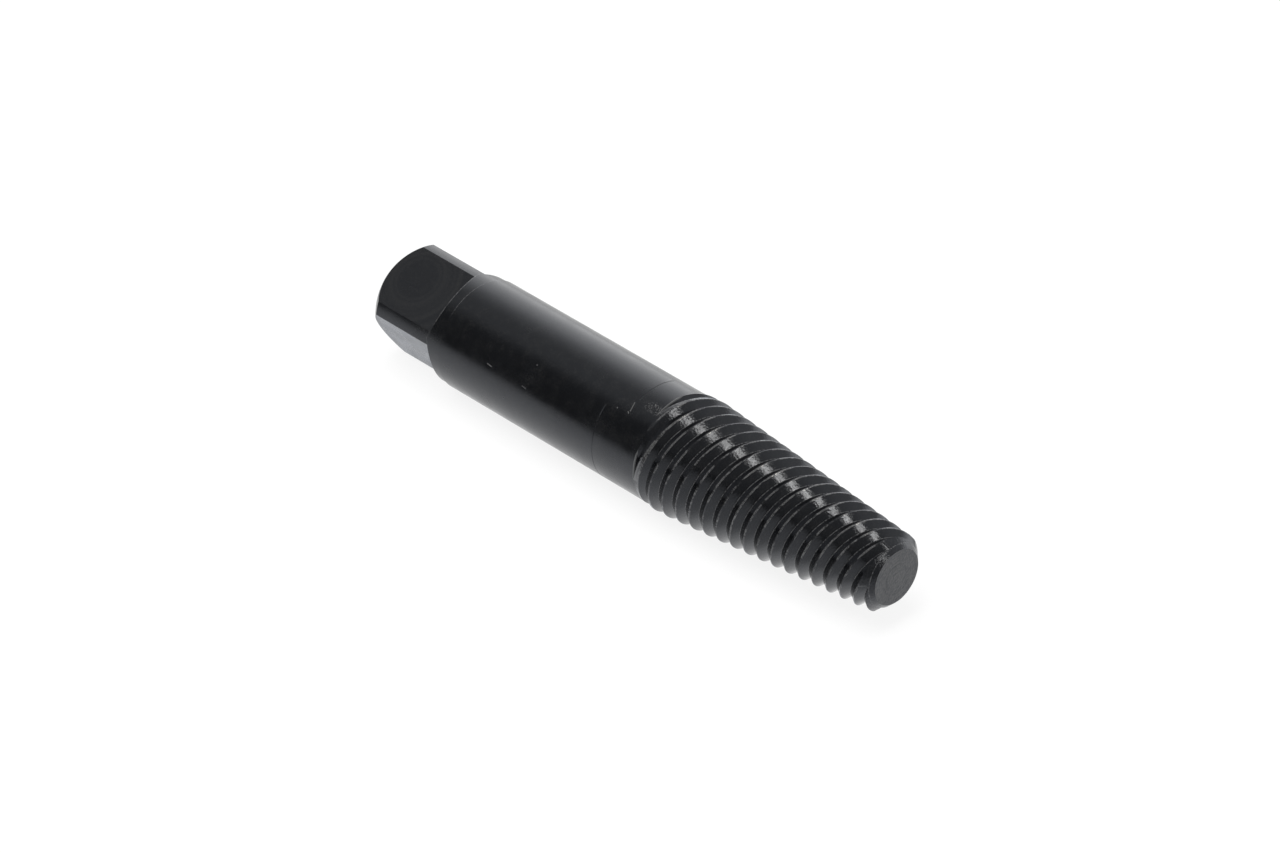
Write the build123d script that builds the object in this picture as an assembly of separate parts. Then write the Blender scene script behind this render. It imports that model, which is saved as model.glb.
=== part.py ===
from build123d import *
import os
from math import atan2, ceil, cos, hypot, radians, sin, tan

# Whole tool, mm: it lies along X, with the square head at -X and the tip at +X
overall_length = 91.0
shank_diameter = 16.0

# Square head, milled on a turned seat a little slimmer than the shank
seat_step = 0.15
square_across_flats = 12.4
square_length = 12.35
run_out_angle = 24.0
neck_length = 2.2
square_turn = 30.6
head_round = 2.3

# Line turned lightly round the shank, placed from the tip
ring_distance = 47.0
ring_width = 0.14
ring_depth = 0.05

# Tapered spiral, from the tip back to the shank
spiral_length = 39.3
tip_crest_diameter = 10.66
tip_face_diameter = 7.9
tip_chamfer_angle = 45.0
widest_crest_rise = 0.25
widest_crest_length = 1.9
crest_fall_length = 1.4

# Left-hand V grooves along the taper, their flank angles measured from square to the axis
starts = 5
pitch = 2.28
tip_flank_angle = 44.0
head_flank_angle = 54.0
groove_turn = 9.6
end_wall_angle = 30.0

# How finely a turn of the spiral is followed
points_per_turn = 12

lead = starts * pitch
head_flank_slope = tan(radians(head_flank_angle))
groove_depth = pitch / (tan(radians(tip_flank_angle)) + head_flank_slope)
shank_radius = shank_diameter / 2
seat_radius = shank_radius - seat_step
widest_crest_radius = shank_radius + widest_crest_rise
tip_crest_radius = tip_crest_diameter / 2
tip_x = overall_length / 2
head_x = -overall_length / 2
square_end_x = head_x + square_length
shoulder_x = square_end_x + neck_length
spiral_end_x = tip_x - spiral_length
widest_x = spiral_end_x + crest_fall_length + widest_crest_length
taper_slope = (widest_crest_radius - tip_crest_radius) / (tip_x - widest_x)


def turned(points):
    """A solid turned about X from (x, radius) points."""
    outline = [(points[0][0], 0), *points, (points[-1][0], 0)]
    return revolve(Plane.XZ * make_face(Polyline(*outline, close=True)), Axis.X)


def seat_blank():
    """The turned seat, its free end rounded off about a point on the axis."""
    face_radius = seat_radius - head_round
    reach = (seat_radius**2 - face_radius**2 + head_round**2) / (2 * head_round)
    ball_radius = hypot(reach, face_radius)
    face_angle = atan2(face_radius, reach)
    rim_angle = atan2(seat_radius, reach - head_round)
    middle = (face_angle + rim_angle) / 2
    middle_x = head_x + reach - ball_radius * cos(middle)
    rim = (head_x + head_round, seat_radius)
    corner = ThreePointArc((head_x, face_radius), (middle_x, ball_radius * sin(middle)), rim)
    rest = Polyline(rim, (shoulder_x, seat_radius), (shoulder_x, 0), (head_x, 0),
                    (head_x, face_radius))
    return revolve(Plane.XZ * make_face([corner, *rest.edges()]), Axis.X)


def shank():
    """The turned shank and seat, with a short cone inside the spiral that ends its grooves."""
    nose_drop = 1.5 * groove_depth
    nose_length = nose_drop * tan(radians(end_wall_angle))
    ring_x = tip_x - ring_distance
    return turned([
        (shoulder_x, seat_radius),
        (shoulder_x + seat_step, shank_radius),
        (ring_x - ring_width / 2, shank_radius),
        (ring_x, shank_radius - ring_depth),
        (ring_x + ring_width / 2, shank_radius),
        (spiral_end_x, shank_radius),
        (spiral_end_x + nose_length, shank_radius - nose_drop),
    ])


def outside_of_square():
    """What milling the four flats takes off the seat, each flat running out in a steep slope."""
    run_out = (shank_diameter - square_across_flats) / 2 * tan(radians(run_out_angle))
    length = square_length + head_round
    ring = Rot(0, 90, 0) * Cylinder(shank_diameter, length + run_out)
    bar = Pos(-length, 0, 0) * Box(2 * length, square_across_flats, square_across_flats)
    slopes = loft([
        Plane.YZ * Rectangle(square_across_flats, square_across_flats),
        Plane.YZ.offset(run_out) * Rectangle(shank_diameter, shank_diameter),
    ])
    cut = Pos((run_out - length) / 2, 0, 0) * ring - Rot(square_turn, 0, 0) * (bar + slopes)
    return Pos(square_end_x, 0, 0) * cut


def spiral_line(start_x, drop):
    """Points on one left-hand turn of a line that runs below the taper of the crests."""
    points = []
    for i in range(points_per_turn + 1):
        turn = i / points_per_turn
        x = start_x - turn * lead
        radius = tip_crest_radius + (tip_x - x) * taper_slope - drop
        angle = radians(groove_turn + 360 * turn)
        points.append((x, radius * cos(angle), radius * sin(angle)))
    return points


def closing_faces(line, profile):
    """A ramp from a spiral line to the axis, and the flat step across the profile beside it."""
    near = (profile[0][0], 0, 0)
    far = (profile[-1][0], 0, 0)
    ramp = Face.make_surface_from_curves(line, Line(near, far).edge())
    step = Face(Polyline(near, *profile, far, close=True).wire())
    return [ramp, step]


def bare_spiral():
    """The spiral alone, running past both ends of the taper, its flanks joined line to line."""
    root_x = tip_x + lead + pitch
    crest_ahead = groove_depth * head_flank_slope
    grooves = ceil((spiral_length + lead) / pitch) + 2
    lines = [spiral_line(root_x + crest_ahead, 0)]
    for _ in range(grooves):
        lines.append(spiral_line(root_x, groove_depth))
        root_x -= pitch
        lines.append(spiral_line(root_x + crest_ahead, 0))
    edges = [Spline(*points).edge() for points in lines]
    flanks = [Face.make_surface_from_curves(edges[i - 1], edges[i]) for i in range(1, len(edges))]
    lines_per_turn = 2 * starts + 1
    tip_profile = [points[0] for points in lines[:lines_per_turn]]
    head_profile = [points[-1] for points in lines[-lines_per_turn:]]
    ends = closing_faces(edges[0], tip_profile) + closing_faces(edges[-1], head_profile)
    return Solid(Shell(flanks + ends))


def spiral():
    """The spiral cut to length, chamfered at the tip and held to its widest crests."""
    tip_face_radius = tip_face_diameter / 2
    chamfer_length = (widest_crest_radius - tip_face_radius) / tan(radians(tip_chamfer_angle))
    blank = turned([
        (spiral_end_x, shank_radius),
        (spiral_end_x + crest_fall_length, widest_crest_radius),
        (tip_x - chamfer_length, widest_crest_radius),
        (tip_x, tip_face_radius),
    ])
    return bare_spiral() & blank


def extractor():
    """The whole tool, one piece of steel, lying on its widest crests."""
    body = seat_blank() - outside_of_square() + shank() + spiral()
    return Pos(0, 0, widest_crest_radius) * body


os.makedirs("parts", exist_ok=True)
tool = extractor()
print("solids", len(tool.solids()), "volume", round(tool.volume, 1), "valid", tool.is_valid)
print("groove depth", round(groove_depth, 3), "taper slope", round(taper_slope, 4))
export_step(tool.solids()[0], "parts/screw_extractor.step")
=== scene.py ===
# %% [markdown]
# # A left-hand screw extractor, blackened and lying on a pale table
#
# The real object is one bar of hard steel. One end is milled to a square for a tap wrench, the
# middle is a plain turned shank, and the other end is a taper with five left-hand grooves whose
# crests bite into a drilled hole. It was blackened after machining, and the crests are rubbed
# bright again.
#
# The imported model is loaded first. It fixes the size and the place of everything, so the piece
# that is built here only has to follow it.

# %% Load the frame
import bpy
import bmesh
import math
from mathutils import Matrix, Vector


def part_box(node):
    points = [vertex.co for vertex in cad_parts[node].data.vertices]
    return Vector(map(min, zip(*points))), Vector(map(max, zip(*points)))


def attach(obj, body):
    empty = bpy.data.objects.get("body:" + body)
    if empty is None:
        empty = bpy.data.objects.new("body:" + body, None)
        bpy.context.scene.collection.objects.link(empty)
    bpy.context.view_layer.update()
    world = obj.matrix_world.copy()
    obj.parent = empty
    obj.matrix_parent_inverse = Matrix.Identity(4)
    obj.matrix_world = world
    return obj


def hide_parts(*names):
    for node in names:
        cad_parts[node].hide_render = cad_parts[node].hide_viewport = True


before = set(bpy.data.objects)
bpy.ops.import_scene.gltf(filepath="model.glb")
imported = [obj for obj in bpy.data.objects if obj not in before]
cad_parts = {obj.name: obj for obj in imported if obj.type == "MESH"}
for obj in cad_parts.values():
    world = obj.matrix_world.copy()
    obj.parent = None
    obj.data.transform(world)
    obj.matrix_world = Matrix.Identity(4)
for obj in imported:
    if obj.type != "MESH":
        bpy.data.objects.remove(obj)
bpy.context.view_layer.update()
low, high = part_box("screw_extractor")
print("CAD box, mm:", [round(v * 1000, 2) for v in (*low, *high)])

# %% [markdown]
# # The sizes of the tool
#
# Blender works in metres here and a toolmaker works in millimetres, so every size is written in
# millimetres and multiplied by MM. The sizes are those of the solid. Two fine ones are added that
# only the surface needs: the narrow land on each crest and the small radius in each root.

# %% Sizes
MM = 0.001
OVERALL = 91.0 * MM
SHANK_R = 8.0 * MM
SEAT_R = 7.85 * MM
HALF_FLATS = 6.2 * MM
SQUARE_LENGTH = 12.35 * MM
RUN_OUT = math.tan(math.radians(24.0))
NECK_LENGTH = 2.2 * MM
SQUARE_TURN = math.radians(30.6)
HEAD_ROUND = 2.3 * MM
RING_FROM_TIP = 47.0 * MM
RING_WIDTH = 0.14 * MM
RING_DEPTH = 0.05 * MM
SPIRAL_LENGTH = 39.3 * MM
TIP_CREST_R = 5.33 * MM
TIP_FACE_R = 3.95 * MM
WIDEST_R = 8.25 * MM
WIDEST_LENGTH = 1.9 * MM
CREST_FALL = 1.4 * MM
STARTS = 5
PITCH = 2.28 * MM
GROOVE_TURN = math.radians(9.6)
CREST_LAND = 0.15 * MM
ROOT_WIDTH = 0.10 * MM
TIP_FLANK = math.tan(math.radians(44.0))
HEAD_FLANK = math.tan(math.radians(54.0))
END_WALL = math.tan(math.radians(30.0))

LEAD = STARTS * PITCH
DEPTH = (PITCH - CREST_LAND - ROOT_WIDTH) / (TIP_FLANK + HEAD_FLANK)
AXIS_Z = WIDEST_R
TIP_X = OVERALL / 2
HEAD_X = -OVERALL / 2
SQUARE_END_X = HEAD_X + SQUARE_LENGTH
SHOULDER_X = SQUARE_END_X + NECK_LENGTH
SPIRAL_END_X = TIP_X - SPIRAL_LENGTH
WIDEST_X = SPIRAL_END_X + CREST_FALL + WIDEST_LENGTH
TAPER = (WIDEST_R - TIP_CREST_R) / (TIP_X - WIDEST_X)


def crest_radius(x):
    """Radius of the taper over the crests at x."""
    return TIP_CREST_R + (TIP_X - x) * TAPER


print("groove depth, mm:", round(DEPTH / MM, 3))

# %% [markdown]
# # The camera
#
# The photograph is taken from the tip's side, from a little above, with a long lens. A long lens
# far away keeps the square head and the tip nearly at the same scale. The camera stands at a
# distance along one direction from the point that it looks at, which is how a photographer would
# describe it too, so the two can be changed one at a time.

# %% Camera
CAMERA_BACK = Vector((0.5856, -0.5741, 0.5723)).normalized()
CAMERA_DISTANCE = 781.8 * MM
LOOK_AT = Vector((-0.69 * MM, 0, 8.38 * MM))

bpy.ops.object.select_all(action="DESELECT")
bpy.ops.object.camera_add(location=LOOK_AT + CAMERA_BACK * CAMERA_DISTANCE)
camera = bpy.context.object
camera.name = "camera"
camera.rotation_euler = CAMERA_BACK.to_track_quat("Z", "Y").to_euler()
camera.data.sensor_width = 36.0
camera.data.lens = 168.5
camera.data.clip_start = 0.01
bpy.context.scene.camera = camera
bpy.context.scene.view_settings.view_transform = "Standard"
print("camera at, mm:", [round(v / MM, 1) for v in camera.location])

# %% [markdown]
# # Wiring shader nodes
#
# A node tree is a long row of small sums. Four helpers write such a row as plain lines: one puts a
# value or another node's result into a socket, two make a math node, and one lets a value rise
# smoothly between two limits, which is what most masks are.

# %% Wiring helpers


def feed(tree, socket, value):
    """Puts a number, a vector or another node's result into a socket."""
    if isinstance(value, bpy.types.NodeSocket):
        tree.links.new(value, socket)
    else:
        socket.default_value = value


def calc(tree, operation, *values):
    """One math node, and its result."""
    node = tree.nodes.new("ShaderNodeMath")
    node.operation = operation
    for socket, value in zip(node.inputs, values):
        feed(tree, socket, value)
    return node.outputs[0]


def vector_calc(tree, operation, *values, output="Vector"):
    """One vector math node, and its result."""
    node = tree.nodes.new("ShaderNodeVectorMath")
    node.operation = operation
    for socket, value in zip(node.inputs, values):
        feed(tree, socket, value)
    return node.outputs[output]


def between(tree, value, start, end, low=0.0, high=1.0, smooth=True):
    """Goes from low to high while the value goes from start to end."""
    node = tree.nodes.new("ShaderNodeMapRange")
    node.interpolation_type = "SMOOTHSTEP" if smooth else "LINEAR"
    for label, number in (("Value", value), ("From Min", start), ("From Max", end),
                          ("To Min", low), ("To Max", high)):
        feed(tree, node.inputs[label], number)
    return node.outputs[0]


def split(tree, vector):
    """The three parts of a vector."""
    node = tree.nodes.new("ShaderNodeSeparateXYZ")
    feed(tree, node.inputs[0], vector)
    return node.outputs[0], node.outputs[1], node.outputs[2]


def blend(tree, share, first, second):
    """A colour that goes from the first to the second as the share goes from 0 to 1."""
    node = tree.nodes.new("ShaderNodeMix")
    node.data_type = "RGBA"
    sockets = {socket.identifier: socket for socket in (*node.inputs, *node.outputs)}
    feed(tree, sockets["Factor_Float"], share)
    feed(tree, sockets["A_Color"], first)
    feed(tree, sockets["B_Color"], second)
    return sockets["Result_Color"]


def new_material(name):
    """A node material holding a Principled shader, its tree and that shader."""
    material = bpy.data.materials.new(name)
    material.use_nodes = True
    return material, material.node_tree, material.node_tree.nodes["Principled BSDF"]


print("wiring helpers ready")

# %% [markdown]
# # The table
#
# A black, half-glossy tool shows its surroundings more than its own colour: its lower side is grey
# because it mirrors a white table, and near black where it mirrors the dark room in front.
#
# So the table has two jobs. To the camera it is white, with a faint shadow of the tool: most of
# that is a plain glow, the rest is its own shading. In the tool's mirror image its glow carries
# painted shade: white close to the tool, it falls off towards the dark room in front, and a painted
# shadow lies in front of the tool beyond the tip.

# %% Table
TABLE_GLOW = 0.86
TABLE_SIZE = 0.7
FADE_FRONT = (-0.115, -0.008)
FADE_CURVE = 1.2
PAST_TIP = (0.005, 0.022)
IN_FRONT = (-0.0055, -0.0095)
TIP_LOSS = 0.38

bpy.ops.mesh.primitive_plane_add(size=TABLE_SIZE, location=(0, 0, 0))
table = bpy.context.object
table.name = "table"
table_material, tree, white = new_material("white_table")
white.inputs["Base Color"].default_value = (0.86, 0.86, 0.86, 1)
white.inputs["Roughness"].default_value = 0.7
path = tree.nodes.new("ShaderNodeLightPath")
place = tree.nodes.new("ShaderNodeTexCoord")
along, across, _ = split(tree, place.outputs["Object"])
# Painted shade for the mirror image: the glow falls off to the front, and a painted shadow patch
# lies in front beyond the tip.
front_fall = calc(tree, "POWER", between(tree, across, *FADE_FRONT, smooth=False), FADE_CURVE)
near_tip = calc(tree, "MULTIPLY", between(tree, along, *PAST_TIP), between(tree, across, *IN_FRONT))
tip_shade = calc(tree, "MULTIPLY_ADD", near_tip, -TIP_LOSS, 1.0)
mirrored = calc(tree, "MULTIPLY", front_fall, tip_shade)
mirror_ray = path.outputs["Is Glossy Ray"]
glow = tree.nodes.new("ShaderNodeEmission")
shade = calc(tree, "MAXIMUM", calc(tree, "SUBTRACT", 1.0, mirror_ray), mirrored)
tree.links.new(shade, glow.inputs["Color"])
share = calc(tree, "MAXIMUM", calc(tree, "MULTIPLY", path.outputs["Is Camera Ray"], TABLE_GLOW),
             mirror_ray)
mix = tree.nodes.new("ShaderNodeMixShader")
tree.links.new(share, mix.inputs[0])
tree.links.new(white.outputs[0], mix.inputs[1])
tree.links.new(glow.outputs[0], mix.inputs[2])
tree.links.new(mix.outputs[0], tree.nodes["Material Output"].inputs["Surface"])
table.data.materials.append(table_material)
print("table across, m:", table.dimensions.x)

# %% [markdown]
# # The light
#
# Each highlight on a turned surface points back to its lamp. The row of bright boxes on the spiral
# comes from one soft box beyond the tip. The broad sheen on the upper side of the shank comes from
# a bright wall behind the tool to its left, and the wall behind it to the right is dimmer. A wide
# lamp overhead lights the table. It is kept out of mirror images, because the photograph shows
# none of it in the tool.

# %% Lamps
WARM, WHITE = (1.0, 0.96, 0.88), (1.0, 1.0, 1.0)
# each row: direction, aim in mm, distance in mm, width and height in mm, watts, tone, in mirrors
LAMPS = {
    "side_box": ((0.811, -0.045, 0.585), (26, 0, 14), 600, (105, 84), 0.23, WARM, True),
    "overhead": ((0.0, -0.3, 0.95), (0, 0, 0), 900, (600, 700), 10.0, WHITE, False),
}

for name, (direction, aim, distance, (wide, tall), watts, tone, in_mirror) in LAMPS.items():
    toward = Vector(direction).normalized()
    bpy.ops.object.light_add(type="AREA", location=(Vector(aim) + toward * distance) * MM)
    lamp = bpy.context.object
    lamp.name = name
    lamp.data.shape = "RECTANGLE"
    lamp.data.size = wide * MM
    lamp.data.size_y = tall * MM
    lamp.data.energy = watts
    lamp.data.color = tone
    lamp.visible_glossy = in_mirror
    lamp.rotation_euler = toward.to_track_quat("Z", "Y").to_euler()
    print(name, "at, mm:", [round(v / MM) for v in lamp.location])

# %% [markdown]
# The room is a grey for each direction. Two ramps run from the front (-1) to the back (1), one
# for the side of the head and one for the side of the tip, and the direction's own X picks between
# them. A strip of light above the camera shows only as fine lines in the roots and on the crests.

# %% The room
HEAD_SIDE = ((-1.0, 0.03), (-0.6, 0.055), (-0.47, 0.08), (-0.37, 0.22), (-0.24, 0.35), (0.12, 0.34),
             (0.29, 0.50), (0.44, 0.76), (0.57, 1.18), (0.68, 1.38), (0.76, 1.6), (0.84, 2.0))
TIP_SIDE = ((-1.0, 0.10), (-0.58, 0.15), (-0.45, 0.20), (-0.2, 0.24), (0.1, 0.33), (0.26, 0.42),
            (0.42, 0.50), (0.57, 0.54), (0.71, 0.54), (0.84, 0.50))
BRIGHTEST = 2.0
STRIP = 1.3
MIX_WIDTH = 0.35
STRIP_SIDE = (0.35, 0.2)
STRIP_FRONT = (-0.2, -0.4)

room = bpy.data.worlds.new("room")
bpy.context.scene.world = room
room.use_nodes = True
tree = room.node_tree
place = tree.nodes.new("ShaderNodeTexCoord")
to_tip, to_back, _ = split(tree, place.outputs["Generated"])
ramp_place = between(tree, to_back, -1.0, 1.0, smooth=False)


def ramp(tree, stops, place_on_ramp):
    """A colour ramp of greys from (front to back, light) stops."""
    node = tree.nodes.new("ShaderNodeValToRGB")
    elements = node.color_ramp.elements
    places = [elements[0], elements[1]] + [elements.new(0.5) for _ in stops[2:]]
    for (position, light), stop in zip(stops, places):
        stop.position = (position + 1) / 2
        stop.color = (light / BRIGHTEST, light / BRIGHTEST, light / BRIGHTEST, 1)
    tree.links.new(place_on_ramp, node.inputs[0])
    return node.outputs[0]


walls = blend(tree, between(tree, to_tip, -MIX_WIDTH, MIX_WIDTH),
              ramp(tree, HEAD_SIDE, ramp_place), ramp(tree, TIP_SIDE, ramp_place))
middle = between(tree, calc(tree, "ABSOLUTE", to_tip), *STRIP_SIDE)
strip = calc(tree, "MULTIPLY", middle, between(tree, to_back, *STRIP_FRONT))
strip = calc(tree, "MULTIPLY", strip, STRIP / BRIGHTEST)
total = vector_calc(tree, "ADD", strip, walls)
backdrop = tree.nodes["Background"]
tree.links.new(total, backdrop.inputs["Color"])
backdrop.inputs["Strength"].default_value = BRIGHTEST
print("room stops:", len(HEAD_SIDE), "and", len(TIP_SIDE))

# %% [markdown]
# # Helpers for working by hand
#
# Blender's modelling operators act on whatever is selected, so a helper first selects nothing and
# then exactly what it needs. Turning on a lathe is one loop: a disc of many corners is
# extruded along the axis and resized at each point of the profile.

# %% Helpers
SIDES = 192


def only(obj):
    """Selects one object and nothing else."""
    if bpy.context.object and bpy.context.object.mode != "OBJECT":
        bpy.ops.object.mode_set(mode="OBJECT")
    bpy.ops.object.select_all(action="DESELECT")
    obj.select_set(True)
    bpy.context.view_layer.objects.active = obj


def turned(name, profile):
    """A closed piece turned about the tool's axis, from (x, radius) points."""
    (x0, r0), rest = profile[0], profile[1:]
    bpy.ops.object.select_all(action="DESELECT")
    bpy.ops.mesh.primitive_circle_add(vertices=SIDES, radius=r0, fill_type="NGON",
                                      location=(x0, 0, AXIS_Z), rotation=(0, math.pi / 2, 0))
    piece = bpy.context.object
    piece.name = name
    only(piece)
    bpy.ops.object.transform_apply(location=True, rotation=True, scale=True)
    bpy.ops.object.mode_set(mode="EDIT")
    bpy.ops.mesh.select_all(action="SELECT")
    x, r = x0, r0
    for next_x, next_r in rest:
        bpy.ops.mesh.extrude_region_move(TRANSFORM_OT_translate={"value": (next_x - x, 0, 0)})
        bpy.ops.transform.resize(value=(1, next_r / r, next_r / r),
                                 center_override=(next_x, 0, AXIS_Z))
        x, r = next_x, next_r
    bpy.ops.mesh.select_all(action="SELECT")
    bpy.ops.mesh.normals_make_consistent(inside=False)
    bpy.ops.object.mode_set(mode="OBJECT")
    return piece


def combine(target, other, operation):
    """Adds, removes or keeps what another closed piece covers, and deletes that piece."""
    only(target)
    modifier = target.modifiers.new("combine", "BOOLEAN")
    modifier.operation = operation
    modifier.solver = "EXACT"
    modifier.object = other
    bpy.ops.object.modifier_apply(modifier=modifier.name)
    bpy.data.objects.remove(other)
    return target


def odd_edges(obj):
    """How many edges don't have exactly two faces."""
    shape = bmesh.new()
    shape.from_mesh(obj.data)
    count = sum(1 for edge in shape.edges if len(edge.link_faces) != 2)
    shape.free()
    return count


print("corners of a turned piece:", SIDES)

# %% [markdown]
# # Shank and square
#
# On the real tool the bar is turned first: a seat a little slimmer than the shank, a rounded end,
# a fine line round the middle. The same order is kept here. The line is worn away on the upper
# side, so its depth fades out there.
#
# A cone is left in front of the shank: it stands inside the spiral later, and becomes the sloping
# wall that ends each groove.

# %% Turn the shank
NOSE_DROP = 1.5 * DEPTH
WALL_EDGE = 0.03 * MM
CORNER_STEPS = 8
RING_GONE = math.radians(80)
RING_FADE_START = math.radians(40)
RING_FADE_WIDTH = math.radians(30)
ring_x = TIP_X - RING_FROM_TIP

face_r = SEAT_R - HEAD_ROUND
reach = (SEAT_R ** 2 - face_r ** 2 + HEAD_ROUND ** 2) / (2 * HEAD_ROUND)
ball_r = math.hypot(reach, face_r)
face_angle = math.atan2(face_r, reach)
rim_angle = math.atan2(SEAT_R, reach - HEAD_ROUND)
corner = []
for step in range(CORNER_STEPS + 1):
    angle = face_angle + (rim_angle - face_angle) * step / CORNER_STEPS
    corner.append((HEAD_X + reach - ball_r * math.cos(angle), ball_r * math.sin(angle)))

tool = turned("extractor_body", [
    *corner,
    (SHOULDER_X, SEAT_R),
    (SHOULDER_X + SHANK_R - SEAT_R, SHANK_R),
    (ring_x - RING_WIDTH / 2, SHANK_R),
    (ring_x, SHANK_R - RING_DEPTH),
    (ring_x + RING_WIDTH / 2, SHANK_R),
    (SPIRAL_END_X + WALL_EDGE, SHANK_R),
    (SPIRAL_END_X + WALL_EDGE + NOSE_DROP * END_WALL, SHANK_R - NOSE_DROP),
])
for vertex in tool.data.vertices:
    if abs(vertex.co.x - ring_x) < RING_WIDTH / 4:
        turn = math.atan2(vertex.co.z - AXIS_Z, vertex.co.y)
        share = (abs(turn - RING_GONE) - RING_FADE_START) / RING_FADE_WIDTH
        radius = SHANK_R - RING_DEPTH * min(1.0, max(0.0, share))
        vertex.co.y = radius * math.cos(turn)
        vertex.co.z = AXIS_Z + radius * math.sin(turn)
print("turned faces:", len(tool.data.polygons), "odd edges:", odd_edges(tool))

# %% [markdown]
# # The four flats
#
# On the real tool a cutter takes off one flat at a time and then runs out of the steel in a steep
# slope. A block stands for each pass of the cutter: its end is sheared by the run-out's slope, and
# the block is taken away from the turned piece.

# %% Mill the four flats
CUTTER = 12 * MM

for quarter in range(4):
    angle = SQUARE_TURN + quarter * math.pi / 2
    outward = Vector((0, math.cos(angle), math.sin(angle)))
    middle = Vector((SQUARE_END_X - CUTTER, 0, AXIS_Z)) + outward * (HALF_FLATS + CUTTER)
    bpy.ops.object.select_all(action="DESELECT")
    bpy.ops.mesh.primitive_cube_add(size=2 * CUTTER, location=middle, rotation=(angle, 0, 0))
    block = bpy.context.object
    only(block)
    bpy.ops.object.transform_apply(location=True, rotation=True, scale=True)
    for vertex in block.data.vertices:
        height = (vertex.co - middle).dot(outward) + CUTTER
        if vertex.co.x > SQUARE_END_X - CUTTER:
            vertex.co.x += height * RUN_OUT
    combine(tool, block, "DIFFERENCE")
print("milled faces:", len(tool.data.polygons), "odd edges:", odd_edges(tool))

# %% [markdown]
# # The tapered spiral
#
# One tooth profile is drawn for all five starts, as a chain of edges one lead long. The Screw
# modifier turns it about the axis and moves it along at the same time, and because the profile is
# exactly one lead long, each turn joins the next.

# %% Draw the profile and screw it
STEPS = 96
EDGE_ROUND = 0.03 * MM
WELD = 0.001 * MM
TURNS = math.ceil((SPIRAL_LENGTH + 2 * LEAD) / LEAD) + 1


def groove_profile(root_x):
    """One groove and the land beside it, from the head side to the tip side."""
    half = ROOT_WIDTH / 2
    head_side = root_x - half - DEPTH * TIP_FLANK
    tip_side = root_x + half + DEPTH * HEAD_FLANK
    return [
        (head_side - 0.4 * EDGE_ROUND, 0.0),
        (head_side + 0.5 * EDGE_ROUND * TIP_FLANK, -EDGE_ROUND),
        (root_x - half, -DEPTH + 0.6 * half),
        (root_x - 0.3 * half, -DEPTH),
        (root_x + 0.5 * half, -DEPTH + 0.1 * half),
        (root_x + 1.3 * half, -DEPTH + 0.8 * half),
        (tip_side - 0.8 * EDGE_ROUND * HEAD_FLANK, -EDGE_ROUND),
        (tip_side + 0.4 * EDGE_ROUND, 0.0),
    ]


first_root = TIP_X + LEAD + GROOVE_TURN / (2 * math.pi) * LEAD
points = []
for start in reversed(range(STARTS)):
    points += groove_profile(first_root - start * PITCH)
points.insert(0, (points[-1][0] - LEAD, points[-1][1]))

mesh = bpy.data.meshes.new("tapered_spiral")
mesh.from_pydata([(x, WIDEST_R + rise, 0) for x, rise in points],
                 [(i, i + 1) for i in range(len(points) - 1)], [])
spiral = bpy.data.objects.new("tapered_spiral", mesh)
bpy.context.scene.collection.objects.link(spiral)
only(spiral)
screw = spiral.modifiers.new("five_starts", "SCREW")
screw.axis = "X"
screw.angle = 2 * math.pi
screw.screw_offset = -LEAD
screw.iterations = TURNS
screw.steps = STEPS
screw.render_steps = STEPS
bpy.ops.object.modifier_apply(modifier=screw.name)
bpy.ops.object.mode_set(mode="EDIT")
bpy.ops.mesh.select_all(action="SELECT")
bpy.ops.mesh.remove_doubles(threshold=WELD)
bpy.ops.object.mode_set(mode="OBJECT")
print("screwed faces:", len(spiral.data.polygons), "x from, mm:",
      round(min(v.co.x for v in spiral.data.vertices) / MM, 2))

# %% [markdown]
# A screw has no taper of its own, so each point is moved in or out by how far the taper is from a
# plain cylinder at that place. That keeps the grooves equally deep from end to end, as a cutter on
# a taper attachment leaves them. Two flat cuts then take the spiral to its length.

# %% Taper it and cut it to length
INSIDE = 0.5 * MM
CUT_WELD = 0.0001 * MM

shape = bmesh.new()
shape.from_mesh(spiral.data)
for vertex in shape.verts:
    x, y, z = vertex.co
    radius = math.hypot(y, z)
    scale = (radius + crest_radius(x) - WIDEST_R) / radius
    vertex.co = (x, y * scale, z * scale + AXIS_Z)
shape.to_mesh(spiral.data)
shape.free()

only(spiral)
bpy.ops.object.mode_set(mode="EDIT")
for cut_x, outward in ((SPIRAL_END_X - 2 * INSIDE, -1), (TIP_X, 1)):
    bpy.ops.mesh.select_all(action="SELECT")
    bpy.ops.mesh.bisect(plane_co=(cut_x, 0, AXIS_Z), plane_no=(outward, 0, 0),
                        use_fill=True, clear_outer=True, threshold=CUT_WELD)
bpy.ops.mesh.select_all(action="SELECT")
bpy.ops.mesh.normals_make_consistent(inside=False)
bpy.ops.object.mode_set(mode="OBJECT")
print("spiral faces:", len(spiral.data.polygons), "odd edges:", odd_edges(spiral))

# %% [markdown]
# The crests are now held to their widest circle beside the shank, fall away to the shank behind
# it, and the tip gets its chamfer. On the real tool this is the turned blank that the grooves were
# cut into, so the blank is turned here too, and only what both pieces share is kept.
#
# The join of the spiral and the shank comes out in one of two ways, by chance. In about half of the
# runs the solver leaves a wall inside the steel, where the shank's end meets the grooves, and some
# edges then have three faces. The surface outside is the same either way, and it has no hole.

# %% Hold the crests to the turned blank
SHARP_FROM = math.radians(28)

fall = (WIDEST_R - SHANK_R) / CREST_FALL
blank = turned("blank", [
    (SPIRAL_END_X - INSIDE, SHANK_R - INSIDE * fall),
    (SPIRAL_END_X + CREST_FALL, WIDEST_R),
    (TIP_X - (WIDEST_R - TIP_FACE_R), WIDEST_R),
    (TIP_X, TIP_FACE_R),
])
combine(spiral, blank, "INTERSECT")
print("held faces:", len(spiral.data.polygons), "odd edges:", odd_edges(spiral))
combine(tool, spiral, "UNION")

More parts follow.
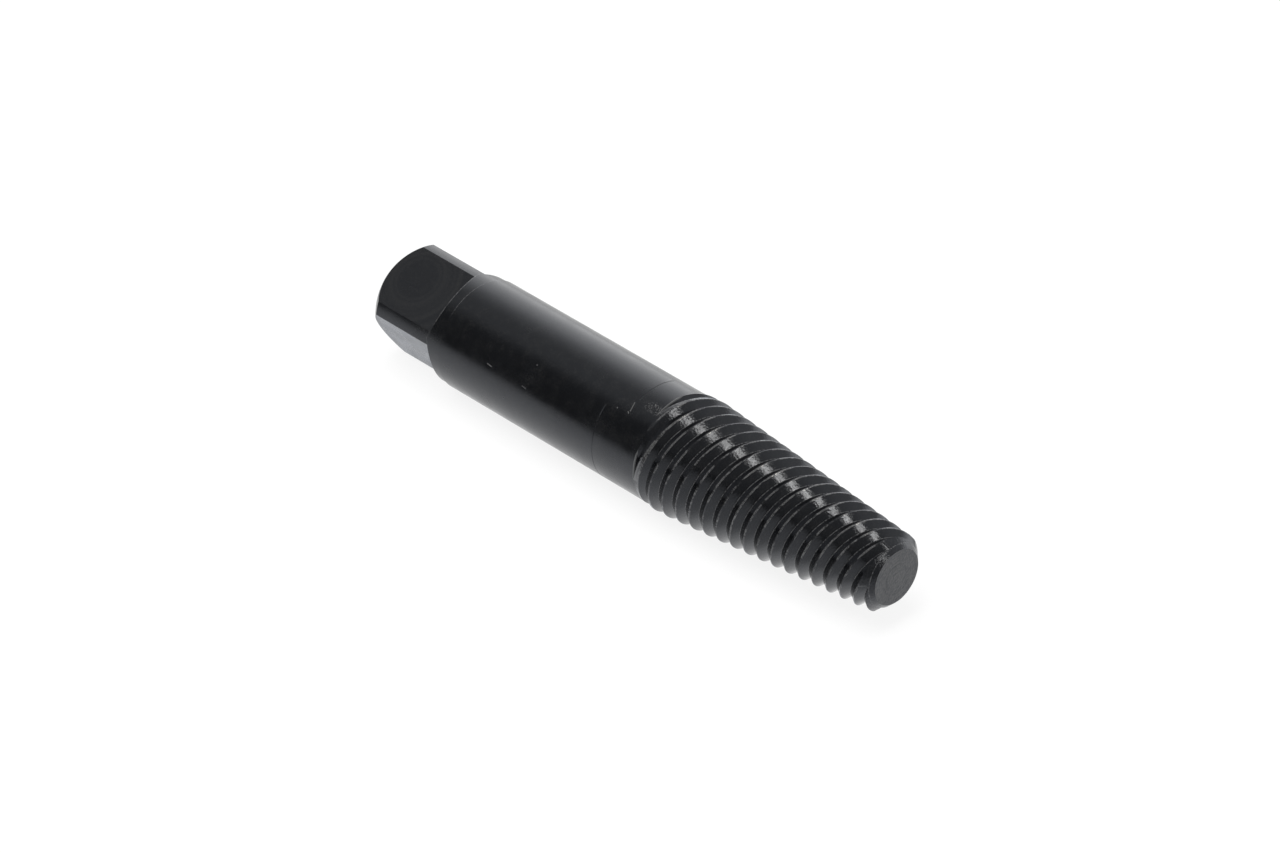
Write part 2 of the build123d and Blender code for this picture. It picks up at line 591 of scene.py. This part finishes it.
only(tool)
bpy.ops.object.mode_set(mode="EDIT")
bpy.ops.mesh.select_all(action="SELECT")
bpy.ops.mesh.remove_doubles(threshold=2 * WELD)
bpy.ops.mesh.dissolve_degenerate(threshold=WELD)
bpy.ops.mesh.normals_make_consistent(inside=False)
bpy.ops.object.mode_set(mode="OBJECT")
bpy.ops.object.shade_smooth_by_angle(angle=SHARP_FROM)
flat_flanks = tool.modifiers.new("flat_flanks", "WEIGHTED_NORMAL")
flat_flanks.weight = 100
flat_flanks.keep_sharp = True
bpy.ops.object.modifier_apply(modifier=flat_flanks.name)
print("tool faces:", len(tool.data.polygons), "odd edges:", odd_edges(tool))

# %% [markdown]
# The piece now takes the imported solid's place and rides on its body. The solid's curves are
# followed by short straight faces, so its box is a few thousandths of a millimetre smaller than
# the true size. The last points outside that box are moved onto it.

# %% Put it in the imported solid's place
for vertex in tool.data.vertices:
    vertex.co = [min(max(v, a), b) for v, a, b in zip(vertex.co, low, high)]
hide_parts("screw_extractor")
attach(tool, "root")
print("tool in place of screw_extractor")

# %% [markdown]
# # Where things are on the tool
#
# Wear follows the shape: crests and edges are rubbed, roots are not. So the masks need to know how
# far along the tool a point lies, how far round it and how far from its axis. A few nodes unroll
# the tool: X is millimetres along the axis, Y millimetres round the shank and Z the radius. A node
# group then draws one scratch on that unrolled sheet, as the distance to a short line.

# %% Unrolled tool and scratches


def new_group(name, inputs, outputs):
    """A node group with named sockets, its inputs and its outputs."""
    group = bpy.data.node_groups.new(name, "ShaderNodeTree")
    for label, kind in inputs:
        group.interface.new_socket(label, in_out="INPUT", socket_type=kind)
    for label, kind in outputs:
        group.interface.new_socket(label, in_out="OUTPUT", socket_type=kind)
    given = group.nodes.new("NodeGroupInput").outputs
    result = group.nodes.new("NodeGroupOutput").inputs
    return group, given, result


def use_group(tree, group, *values):
    """Puts a group into a tree, feeds it and gives its outputs."""
    node = tree.nodes.new("ShaderNodeGroup")
    node.node_tree = group
    for socket, value in zip(node.inputs, values):
        feed(tree, socket, value)
    return node.outputs


VECTOR, NUMBER = "NodeSocketVector", "NodeSocketFloat"
SHANK_MM = SHANK_R / MM


def unroll(tree, position):
    """Where a point lies on the unrolled tool, in millimetres."""
    x, y, z = split(tree, position)
    up = calc(tree, "SUBTRACT", z, AXIS_Z)
    radius = calc(tree, "SQRT", calc(tree, "ADD", calc(tree, "MULTIPLY", y, y),
                                     calc(tree, "MULTIPLY", up, up)))
    turn = calc(tree, "WRAP", calc(tree, "ARCTAN2", up, y), 2 * math.pi, 0.0)
    sheet = tree.nodes.new("ShaderNodeCombineXYZ")
    feed(tree, sheet.inputs[0], calc(tree, "DIVIDE", x, MM))
    feed(tree, sheet.inputs[1], calc(tree, "MULTIPLY", turn, SHANK_MM))
    feed(tree, sheet.inputs[2], calc(tree, "DIVIDE", radius, MM))
    return sheet.outputs[0]


scratch, given, result = new_group(
    "scratch", [("Sheet", VECTOR), ("From", VECTOR), ("To", VECTOR), ("Width", NUMBER)],
    [("Mask", NUMBER)])
flat = vector_calc(scratch, "MULTIPLY", given["Sheet"], (1, 1, 0))
start = vector_calc(scratch, "SUBTRACT", flat, given["From"])
whole = vector_calc(scratch, "SUBTRACT", given["To"], given["From"])
share = calc(scratch, "DIVIDE", vector_calc(scratch, "DOT_PRODUCT", start, whole, output="Value"),
             vector_calc(scratch, "DOT_PRODUCT", whole, whole, output="Value"))
share = between(scratch, share, 0.0, 1.0, smooth=False)
step = scratch.nodes.new("ShaderNodeVectorMath")
step.operation = "SCALE"
feed(scratch, step.inputs["Vector"], whole)
feed(scratch, step.inputs["Scale"], share)
away = vector_calc(scratch, "DISTANCE", start, step.outputs["Vector"], output="Value")
away = calc(scratch, "DIVIDE", away, given["Width"])
feed(scratch, result["Mask"], between(scratch, away, 0.6, 0.3))
print("groups:", [group.name for group in bpy.data.node_groups])

# %% [markdown]
# # Masks
#
# A mask is a value from 0 to 1 over the surface, such as how far the oxide has worn through. It
# comes from noise or from being near a place, and masks are combined by multiplying them or by
# keeping the strongest.

# %% Mask helpers


def noise(tree, position, scale, detail=2.0):
    """Soft noise between 0 and 1, with its grain in cells per millimetre."""
    node = tree.nodes.new("ShaderNodeTexNoise")
    feed(tree, node.inputs["Vector"], position)
    node.inputs["Scale"].default_value = scale
    node.inputs["Detail"].default_value = detail
    return node.outputs[0]


def lines(tree, value, scale, detail=2.0):
    """Noise that changes along one value only."""
    place = tree.nodes.new("ShaderNodeCombineXYZ")
    feed(tree, place.inputs[0], value)
    return noise(tree, place.outputs[0], scale, detail)


def apart(tree, value, place):
    """How far a value is from a place."""
    return calc(tree, "ABSOLUTE", calc(tree, "SUBTRACT", value, place))


def near(tree, value, place, width):
    """1 where the value is at a place, 0 beyond a width on both sides."""
    return between(tree, apart(tree, value, place), width, 0.4 * width)


def product(tree, *values):
    """Masks multiplied together."""
    total = values[0]
    for value in values[1:]:
        total = calc(tree, "MULTIPLY", total, value)
    return total


def largest(tree, *values):
    """The strongest of some masks."""
    total = values[0]
    for value in values[1:]:
        total = calc(tree, "MAXIMUM", total, value)
    return total


def at_turn(degrees):
    """Millimetres round the shank at a place given in degrees."""
    return math.radians(degrees) * SHANK_MM


def flat_distance(tree, position, quarter):
    """Distance from the axis towards one flat, counted round from the one that faces back."""
    angle = SQUARE_TURN + quarter * math.pi / 2
    _, y, z = split(tree, position)
    up = calc(tree, "SUBTRACT", z, AXIS_Z / MM)
    return calc(tree, "MULTIPLY_ADD", up, math.sin(angle),
                calc(tree, "MULTIPLY", y, math.cos(angle)))


print("one turn of the shank, mm:", round(at_turn(360), 2))

# %% [markdown]
# Rubbed crests, and painted highlights in the roots
#
# The oxide is only a few thousandths of a millimetre thick, so it wears through first where the
# tool is touched, which is on the lands of the crests. The mask finds a land by how little it lies
# below the taper. On the short cone beside the shank the lands are wide and still black, so there
# only their edges count. Towards the lower side the crest lines weaken, which is a painted fall-off
# of their highlight. The roots get a faint bright line, which is a painted highlight in their
# fillet.

# %% Rubbed crests and painted root highlights
CREST_X = (first_root - ROOT_WIDTH / 2 - DEPTH * TIP_FLANK - CREST_LAND / 2) / MM
PITCH_MM = PITCH / MM
FAR_BACK = 100 * PITCH_MM
LAND_BELOW = (0.10, 0.04)
ROOT_NEAR = 0.06

# Masks of rubbed metal, together with the painted highlights in the roots and on the edges.
rubbed_and_highlights, given, result = new_group("rubbed_and_highlights", [("Sheet", VECTOR), ("Position", VECTOR)],
                                  [("Bare_and_highlight", NUMBER), ("Root_highlight", NUMBER), ("Spiral", NUMBER)])
x, arc, r = split(rubbed_and_highlights, given["Sheet"])
taper_line = calc(rubbed_and_highlights, "MULTIPLY_ADD", x, -TAPER, (TIP_CREST_R + TIP_X * TAPER) / MM)
fall_line = calc(rubbed_and_highlights, "MULTIPLY_ADD", x, fall, (SHANK_R - SPIRAL_END_X * fall) / MM)
crest = calc(rubbed_and_highlights, "MINIMUM", calc(rubbed_and_highlights, "MINIMUM", taper_line, fall_line), WIDEST_R / MM)
below = calc(rubbed_and_highlights, "SUBTRACT", crest, r)
spiral_start = SPIRAL_END_X / MM
on_spiral = between(rubbed_and_highlights, x, spiral_start + 0.1, spiral_start + 0.3)

phase = calc(rubbed_and_highlights, "MULTIPLY_ADD", arc, LEAD / MM / (2 * math.pi * SHANK_MM), x)
phase = calc(rubbed_and_highlights, "SUBTRACT", phase, CREST_X - FAR_BACK)
phase = calc(rubbed_and_highlights, "FRACT", calc(rubbed_and_highlights, "DIVIDE", phase, PITCH_MM))
on_cone = between(rubbed_and_highlights, x, spiral_start + 1.7, spiral_start + 1.3)
wide = product(rubbed_and_highlights, on_cone, between(rubbed_and_highlights, apart(rubbed_and_highlights, phase, 0.5), 0.47, 0.42))
# The crest mask weakens from 115 to 155 degrees round, towards the lower side: a painted fall-off
# of the crests' highlight.
land = product(rubbed_and_highlights, between(rubbed_and_highlights, below, *LAND_BELOW), on_spiral,
               between(rubbed_and_highlights, arc, at_turn(115), at_turn(155), 1.0, 0.55),
               calc(rubbed_and_highlights, "SUBTRACT", 1.0, wide))
# Painted highlight: a thin bright line along each root.
root = product(rubbed_and_highlights, near(rubbed_and_highlights, below, DEPTH / MM, ROOT_NEAR), on_spiral)
print("a crest passes the back of the tool at x, mm:", round(CREST_X, 2))

# %% [markdown]
# Rubbed edges, with painted highlights
#
# The other edges that are touched are the step up to the shank, the edges of the flats' slopes and
# the ends of the grooves. Their bright lines are partly rubbed metal and partly a painted highlight
# of the rounded edge. Each is found by its place, and noise breaks up all but the groove ends,
# since wear is never even. Both lines at the head fade downwards, a painted fall-off of their
# highlight.

# %% Rubbed edges with painted highlights
EDGE_SHARE = 0.8
END_SHARE = 0.7

in_groove = product(rubbed_and_highlights, between(rubbed_and_highlights, phase, 0.22, 0.28), between(rubbed_and_highlights, phase, 0.69, 0.63))
# Rubbed metal and a painted highlight along the edge where each groove ends.
groove_end = product(rubbed_and_highlights, near(rubbed_and_highlights, x, spiral_start + 0.02, 0.13), in_groove)
# Painted highlight: the shoulder line, fading out downwards.
shoulder = product(rubbed_and_highlights, near(rubbed_and_highlights, x, (SHOULDER_X + SHANK_R - SEAT_R) / MM, 0.10),
                   between(rubbed_and_highlights, arc, at_turn(142), at_turn(112), 0.0, 0.6))
sides = [calc(rubbed_and_highlights, "ABSOLUTE", flat_distance(rubbed_and_highlights, given["Position"], quarter))
         for quarter in (0, 1)]
height = calc(rubbed_and_highlights, "SUBTRACT", calc(rubbed_and_highlights, "MAXIMUM", *sides), HALF_FLATS / MM)
slope_x = calc(rubbed_and_highlights, "MULTIPLY_ADD", height, RUN_OUT, SQUARE_END_X / MM)
# Painted highlight: the edges of the flats' slopes, weaker downwards.
slope_edge = product(rubbed_and_highlights, near(rubbed_and_highlights, calc(rubbed_and_highlights, "SUBTRACT", x, slope_x), 0.03, 0.11),
                     between(rubbed_and_highlights, r, SEAT_R / MM - 0.12, SEAT_R / MM - 0.05),
                     between(rubbed_and_highlights, arc, at_turn(165), at_turn(115), 0.2, 0.6))

patches = between(rubbed_and_highlights, noise(rubbed_and_highlights, given["Position"], 0.55, 3.0), 0.40, 0.62, 0.05, 1.1)
specks = between(rubbed_and_highlights, noise(rubbed_and_highlights, given["Position"], 4.0, 1.0), 0.42, 0.60, 0.2, 1.0)
crest_rub_and_highlight = product(rubbed_and_highlights, land, patches, specks)
head_edges = product(rubbed_and_highlights, largest(rubbed_and_highlights, shoulder, slope_edge), specks)
# Rubbed edges together with their painted highlights.
edge_rub_and_highlight = largest(rubbed_and_highlights, head_edges, product(rubbed_and_highlights, groove_end, END_SHARE))
edge_rub_and_highlight = calc(rubbed_and_highlights, "MULTIPLY", edge_rub_and_highlight, EDGE_SHARE)
feed(rubbed_and_highlights, result["Bare_and_highlight"], largest(rubbed_and_highlights, crest_rub_and_highlight, edge_rub_and_highlight))
feed(rubbed_and_highlights, result["Root_highlight"], product(rubbed_and_highlights, root, specks))
feed(rubbed_and_highlights, result["Spiral"], on_spiral)
print("rubbed mask nodes:", len(rubbed_and_highlights.nodes))

# %% [markdown]
# # Tool marks
#
# Each way of cutting leaves its own grain. The tip's face was faced on a lathe, which leaves rings.
# The flats were milled, which leaves wide arcs. The spiral is slightly uneven, so its highlights
# have ragged rims, and one shallow groove was worn round the top of the shank. All of it is far
# finer than the mesh, so it is height for a bump node.

# %% Tool marks
RING_HEIGHT = 0.045
FACE_HEIGHT = 0.05
ARC_HEIGHT = 0.007
TURNING_HEIGHT = 0.0012
GRAIN_HEIGHT = 0.0055
RAGGED_HEIGHT = 0.020
DENT_DEPTH = 0.03
DENT = ((2.38, at_turn(66), 0), (2.44, at_turn(112), 0), 0.17)
ARC_MIDDLE = (-40.4, -2.6, 13.9)

marks, given, result = new_group(
    "tool_marks", [("Sheet", VECTOR), ("Position", VECTOR), ("Spiral", NUMBER)],
    [("Height", NUMBER), ("Matte", NUMBER), ("Film", NUMBER), ("Thin", NUMBER)])
x, arc, r = split(marks, given["Sheet"])
here = given["Position"]
tip_mm = TIP_X / MM

face = between(marks, x, tip_mm - 0.03, tip_mm - 0.01)
bevel = product(marks, near(marks, calc(marks, "ADD", x, r), tip_mm + TIP_FACE_R / MM, 0.08),
                between(marks, x, tip_mm - 1.7, tip_mm - 1.4))
rings = calc(marks, "MULTIPLY", lines(marks, r, 3.2, 1.0), RING_HEIGHT)
faced = calc(marks, "MULTIPLY_ADD", noise(marks, here, 3.4, 3.0), FACE_HEIGHT, rings)

head = between(marks, x, SQUARE_END_X / MM, SQUARE_END_X / MM - 0.1)
milled = product(marks, head, between(marks, r, SEAT_R / MM - 0.05, SEAT_R / MM - 0.09))
from_middle = vector_calc(marks, "DISTANCE", here, ARC_MIDDLE, output="Value")
arcs = calc(marks, "MULTIPLY", lines(marks, from_middle, 2.2, 3.0), ARC_HEIGHT)

turning = calc(marks, "MULTIPLY", lines(marks, x, 7.0, 2.0), TURNING_HEIGHT)
height = calc(marks, "MULTIPLY_ADD", noise(marks, here, 5.0, 2.0), GRAIN_HEIGHT, turning)
uneven = calc(marks, "MULTIPLY", given["Spiral"], RAGGED_HEIGHT)
height = calc(marks, "MULTIPLY_ADD", noise(marks, here, 3.2, 3.0), uneven, height)
height = calc(marks, "ADD", height, product(marks, milled, arcs))
height = calc(marks, "ADD", height, product(marks, largest(marks, face, bevel), faced))
dent = use_group(marks, scratch, given["Sheet"], *DENT)["Mask"]
height = calc(marks, "MULTIPLY_ADD", dent, -DENT_DEPTH, height)
matte = largest(marks, face, calc(marks, "MULTIPLY", bevel, 0.3), dent)
feed(marks, result["Height"], height)
feed(marks, result["Matte"], matte)
print("tool mark nodes:", len(marks.nodes))

# %% [markdown]
# # Uneven oxide
#
# The oxide doesn't take evenly. It is paler on the freshly faced tip, in arcs on the upper flat
# and in cloudy patches on the shank. On the lower flat it has partly gone, in long streaks, and
# there is a small grainy spot beside the spiral.

# %% Uneven oxide
UPPER_FLAT, LOWER_FLAT = 1, 2
LENGTHWISE = (0.12, 1.5, 1.5)
SPOT_SHAPE = (0.45, 1, 0)
SPOT_MIDDLE = (0.45 * 5.3, at_turn(112.5), 0)


def facing(quarter):
    """Mask of one flat of the square."""
    out = flat_distance(marks, here, quarter)
    return product(marks, head, between(marks, out, HALF_FLATS / MM - 0.03, HALF_FLATS / MM - 0.01))


fine = between(marks, noise(marks, here, 5.5, 2.0), 0.45, 0.70)
bands = product(marks, between(marks, lines(marks, from_middle, 0.9, 2.0), 0.40, 0.58),
                between(marks, from_middle, 2.2, 3.4))
pale = calc(marks, "MULTIPLY_ADD", fine, 0.16, calc(marks, "MULTIPLY", bands, 0.14))
top_film = product(marks, facing(UPPER_FLAT), pale)

face_rings = between(marks, lines(marks, r, 1.3, 1.0), 0.40, 0.60)
blotches = between(marks, noise(marks, here, 2.6, 2.0), 0.38, 0.62)
blotches = calc(marks, "MULTIPLY_ADD", blotches, 0.95, 0.10)
face_film = product(marks, face, calc(marks, "MULTIPLY_ADD", face_rings, 0.45, blotches))

clouds = between(marks, noise(marks, here, 0.8, 3.0), 0.40, 0.65)
feed(marks, result["Film"], largest(marks, top_film, face_film, product(marks, clouds, fine, 0.3)))

stretched = vector_calc(marks, "MULTIPLY", here, LENGTHWISE)
streaks = between(marks, noise(marks, stretched, 1.6, 2.0), 0.35, 0.65, 0.35, 0.65)
squeezed = vector_calc(marks, "MULTIPLY", given["Sheet"], SPOT_SHAPE)
spot = vector_calc(marks, "DISTANCE", squeezed, SPOT_MIDDLE, output="Value")
grainy = product(marks, between(marks, spot, 1.1, 0.4),
                 between(marks, noise(marks, here, 6.0, 1.0), 0.5, 0.65), 0.3)
feed(marks, result["Thin"], largest(marks, product(marks, facing(LOWER_FLAT), streaks), grainy))
print("tool mark nodes with the oxide:", len(marks.nodes))

# %% [markdown]
# # Blackened steel
#
# The oxide is a dark film with a thin shine of oil, so the steel is nearly black and mirrors a
# little, like a dark plastic. Where it is rubbed the bare metal shows, which is grey and mirrors
# far more. Both are one shader here: the mask moves it from one to the other. The same mask also
# paints highlights in the roots and along some edges as bare metal.
#
# The nicks are rows of two ends, a width in millimetres and a strength. An end is a place along
# the tool in millimetres and a place round it in degrees.

# %% Blackened steel
NICKS = (
    ((2.13, 117.6), (2.38, 126.2), 0.16, 0.9),
    ((2.15, 128.0), (2.34, 129.2), 0.14, 0.7),
    ((-21.9, 156.0), (-21.1, 156.7), 0.17, 0.45),
    ((-15.2, 157.9), (-14.5, 158.5), 0.13, 0.22),
    ((0.34, 129.7), (0.38, 130.1), 0.16, 0.5),
    ((4.85, 109.0), (4.90, 109.5), 0.20, 0.5),
    ((-14.32, 133.1), (-14.3, 133.5), 0.16, 0.35),
)
BLACK = (0.0019, 0.0021, 0.0025, 1)
FILM = (0.028, 0.027, 0.025, 1)
BARE = (0.235, 0.235, 0.235, 1)
ROUGHNESS = (0.205, 0.275)
SMOOTHER_SPIRAL = 0.11
MATTE_ADDS = 0.25
BARE_ADDS = 0.08
ROOT_SHARE = 0.3

steel, tree, shader = new_material("blackened_steel")
place = tree.nodes.new("ShaderNodeTexCoord").outputs["Object"]
here = vector_calc(tree, "DIVIDE", place, (MM, MM, MM))
sheet = unroll(tree, place)
wear_and_highlights = use_group(tree, rubbed_and_highlights, sheet, here)
cuts = use_group(tree, marks, sheet, here, wear_and_highlights["Spiral"])
# Bare metal where rubbed, plus the painted highlights in the roots and on the edges.
bare_and_highlights = largest(tree, wear_and_highlights["Bare_and_highlight"], cuts["Thin"], calc(tree, "MULTIPLY", wear_and_highlights["Root_highlight"], ROOT_SHARE))
for (x0, turn0), (x1, turn1), width, strength in NICKS:
    ends = [(x, at_turn(turn), 0) for x, turn in ((x0, turn0), (x1, turn1))]
    nick = use_group(tree, scratch, sheet, *ends, width)["Mask"]
    bare_and_highlights = largest(tree, bare_and_highlights, calc(tree, "MULTIPLY", nick, strength))

colour = blend(tree, bare_and_highlights, blend(tree, cuts["Film"], BLACK, FILM), BARE)
dull = between(tree, noise(tree, here, 0.35, 3.0), 0.3, 0.7, *ROUGHNESS)
dull = calc(tree, "MULTIPLY_ADD", wear_and_highlights["Spiral"], -SMOOTHER_SPIRAL, dull)
dull = calc(tree, "MULTIPLY_ADD", cuts["Matte"], MATTE_ADDS, dull)
dull = calc(tree, "MULTIPLY_ADD", bare_and_highlights, BARE_ADDS, dull)
bump = tree.nodes.new("ShaderNodeBump")
bump.inputs["Distance"].default_value = MM
feed(tree, bump.inputs["Height"], cuts["Height"])
feed(tree, shader.inputs["Base Color"], colour)
feed(tree, shader.inputs["Metallic"], bare_and_highlights)
feed(tree, shader.inputs["Roughness"], dull)
feed(tree, shader.inputs["Normal"], bump.outputs[0])
shader.inputs["IOR"].default_value = 1.66
shader.inputs["Specular Tint"].default_value = (0.87, 0.91, 1.0, 1)
tool.data.materials.clear()
tool.data.materials.append(steel)
print("steel nodes:", len(tree.nodes), "nicks:", len(NICKS))
